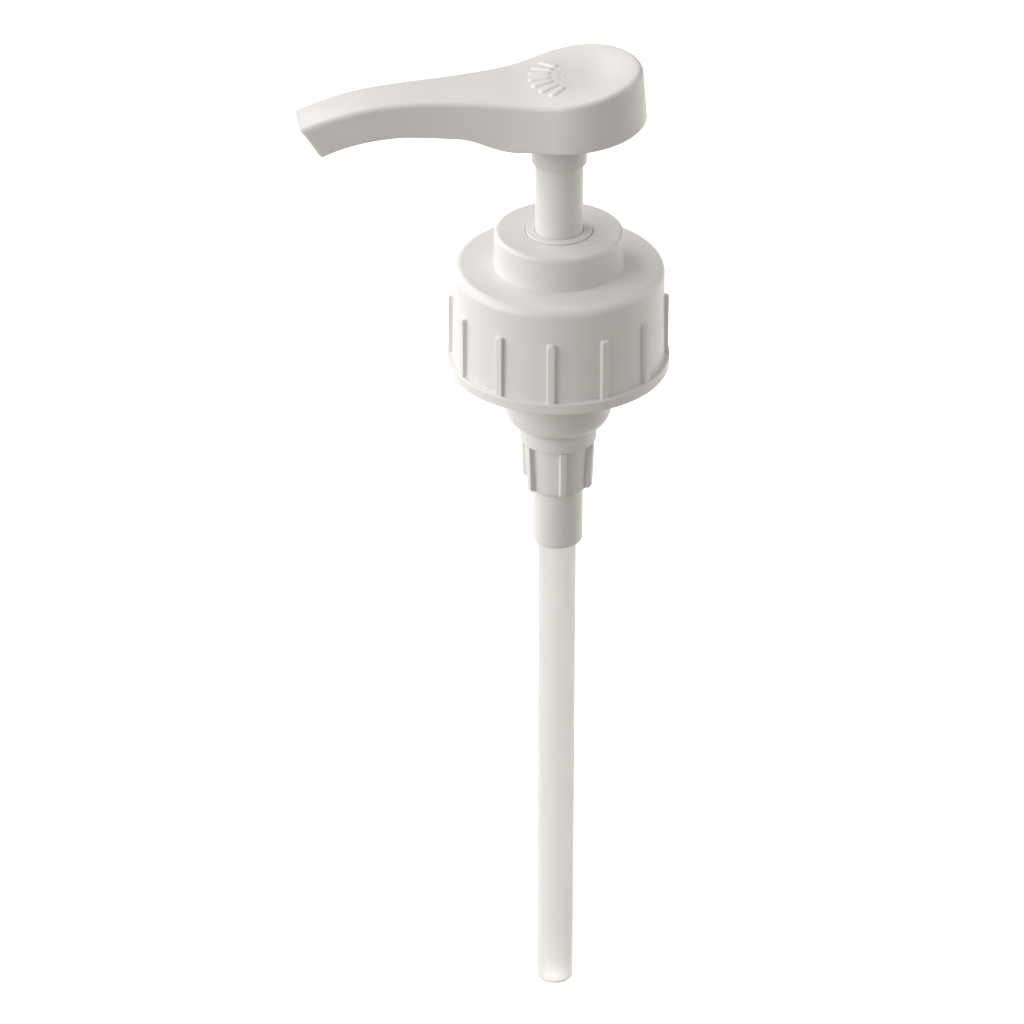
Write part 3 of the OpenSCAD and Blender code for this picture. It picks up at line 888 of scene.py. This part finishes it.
def spout_floor():
    """Snap-in strip that closes the flow channel, following the arch."""
    inset, thick, steps, columns, edge = 0.5, 1.6, 48, 8, 0.25
    tip_t = REACH - 8.2
    points = []
    for s in spread(0, 1, steps):
        middle_t = mix(tip_t, BOSS_R, s)

        def half(height):
            """Half the strip's width at a height in it."""
            inside = inner_half(middle_t, spout_under(middle_t) + inset + height)
            return min(inside, CHANNEL_HALF) - 0.05

        def place(y, height):
            """A point of this row, which bends round the boss at the strip's near end."""
            t = mix(tip_t, math.sqrt((BOSS_R + 0.1) ** 2 - y * y), s)
            ahead = 0.7 * height * smooth((t - 60) / 11)
            return (-t - ahead, y, spout_under(t) + inset + height)

        across = [2 * j / columns - 1 for j in range(columns + 1)]
        points += [place((half(0) - edge) * q, 0) for q in across]
        points += [place(half(thick * h), thick * h) for h in (0.15, 0.85)]
        points += [place(-(half(thick) - edge) * q, thick) for q in across]
        points += [place(-half(thick * h), thick * h) for h in (0.85, 0.15)]
    return bar_of_rings("spout_floor_strip", points, len(points) // (steps + 1), 35)


# ---------------------------------------------------------------- build

for make, material, body, node, slot_name in [
        (screw_cap, WHITE, "closure", "screw_cap", "white_plastic"),
        (pump_housing, WHITE, "pump_body", "pump_housing", "white_plastic"),
        (coupling_nut, WHITE, "pump_body", "coupling_nut", "white_plastic"),
        (inlet_valve_body, WHITE, "pump_body", "inlet_valve_body", "white_plastic"),
        (dip_tube, TUBE, "pump_body", "dip_tube", "natural_plastic"),
        (barrel_cap, WHITE, "pump_body", "barrel_cap", "white_plastic"),
        (stem, STEM_WHITE_PAINTED_LIGHT, "head", "stem", "white_plastic"),
        (stem_socket, WHITE, "head", "stem_socket", "white_plastic"),
        (actuator_head, HEAD_WHITE_PAINTED_SHADE, "head", "actuator_head", "white_plastic"),
        (spout_floor, HEAD_WHITE_PAINTED_SHADE, "head", "spout_floor", "white_plastic")]:
    finish_piece(make(), material, body, node)

finish_extra(neck_thread(), WHITE, "closure")
for part in (head_boss(), channel_wall("channel_wall_left", 1),
             channel_wall("channel_wall_right", -1)):
    finish_extra(part, HEAD_WHITE_PAINTED_SHADE, "head")

spring = finish_piece(return_spring(), WIRE, "pump_body", "return_spring")
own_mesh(spring)

for cad_node, material in [("piston", WHITE), ("piston_seal", WAXY), ("outlet_seat", WAXY),
                           ("ball_cage", WAXY), ("outlet_ball", BALL), ("inlet_ball", BALL),
                           ("valve_o_ring", RUBBER), ("stem_wiper", RUBBER),
                           ("neck_gasket", FOAM)]:
    finish_cad(cad_node, material)


# ---------------------------------------------------------------- stage, light, camera

def pale_floor():
    """A plain pale floor some way below the tube's end, in metres."""
    size, gap = 8, 0.22
    z = low("dip_tube") * MM - gap
    mesh = bpy.data.meshes.new("floor")
    mesh.from_pydata([(-size, -size, z), (size, -size, z), (size, size, z), (-size, size, z)],
                     [], [(0, 1, 2, 3)])
    floor = bpy.data.objects.new("floor", mesh)
    bpy.context.scene.collection.objects.link(floor)
    material, nodes, links, shader = node_tree("pale_floor")
    shader.inputs["Base Color"].default_value = (0.95, 0.93, 0.89, 1)
    shader.inputs["Roughness"].default_value = 0.95
    shader.inputs["Specular IOR Level"].default_value = 0.1
    shader.inputs["Emission Color"].default_value = (1, 0.99, 0.97, 1)
    shader.inputs["Emission Strength"].default_value = 0.4
    mesh.materials.append(material)
    floor.visible_diffuse = False


def soft_light(name, azimuth, elevation, strength, spread_deg):
    """A distant soft light that shines from the given direction, in degrees."""
    data = bpy.data.lights.new(name, "SUN")
    data.energy = strength
    data.angle = math.radians(spread_deg)
    light = bpy.data.objects.new(name, data)
    a, e = math.radians(azimuth), math.radians(elevation)
    towards = Vector((math.sin(a) * math.cos(e), -math.cos(a) * math.cos(e), math.sin(e)))
    light.rotation_mode = "QUATERNION"
    light.rotation_quaternion = towards.to_track_quat("Z", "Y")
    bpy.context.scene.collection.objects.link(light)


def studio_light():
    """A pale surround, with large soft lights at the left and weaker ones at the right."""
    world = bpy.data.worlds.new("studio")
    bpy.context.scene.world = world
    world.use_nodes = True
    nodes, links = world.node_tree.nodes, world.node_tree.links
    place = nodes.new("ShaderNodeTexCoord")
    split = nodes.new("ShaderNodeSeparateXYZ")
    links.new(place.outputs["Generated"], split.inputs["Vector"])
    height = nodes.new("ShaderNodeMapRange")
    height.inputs["From Min"].default_value = -1
    links.new(split.outputs["Z"], height.inputs["Value"])
    links.new(ramp(nodes, links, height.outputs["Result"], [
        (0.0, (0.6, 0.56, 0.505, 1)), (0.5, (0.22, 0.207, 0.188, 1)), (1.0, (0.56, 0.547, 0.52, 1))]),
        nodes["Background"].inputs["Color"])
    nodes["Background"].inputs["Strength"].default_value = 1.0
    soft_light("key_side", -95, 15, 1.05, 45)
    soft_light("key_back", -135, 38, 1.6, 45)
    soft_light("key_front", -64, 27, 1.35, 45)
    soft_light("fill_right", 100, 12, 1.05, 50)


def camera():
    """Far away with a long lens, so that the perspective is mild."""
    azimuth, elevation, distance = math.radians(-8), math.radians(30.77), 1.5934
    aim = Vector((-0.01433, 0.00201, -0.08408))
    back = Vector((math.sin(azimuth) * math.cos(elevation),
                   -math.cos(azimuth) * math.cos(elevation), math.sin(elevation)))
    data = bpy.data.cameras.new("camera")
    data.sensor_width = 36
    data.lens = 175.8
    view = bpy.data.objects.new("camera", data)
    view.location = aim + back * distance
    view.rotation_mode = "QUATERNION"
    view.rotation_quaternion = (-back).to_track_quat("-Z", "Y")
    bpy.context.scene.collection.objects.link(view)
    bpy.context.scene.camera = view


pale_floor()
studio_light()
camera()
bpy.context.scene.view_settings.view_transform = "Standard"
bpy.context.scene.view_settings.look = "None"
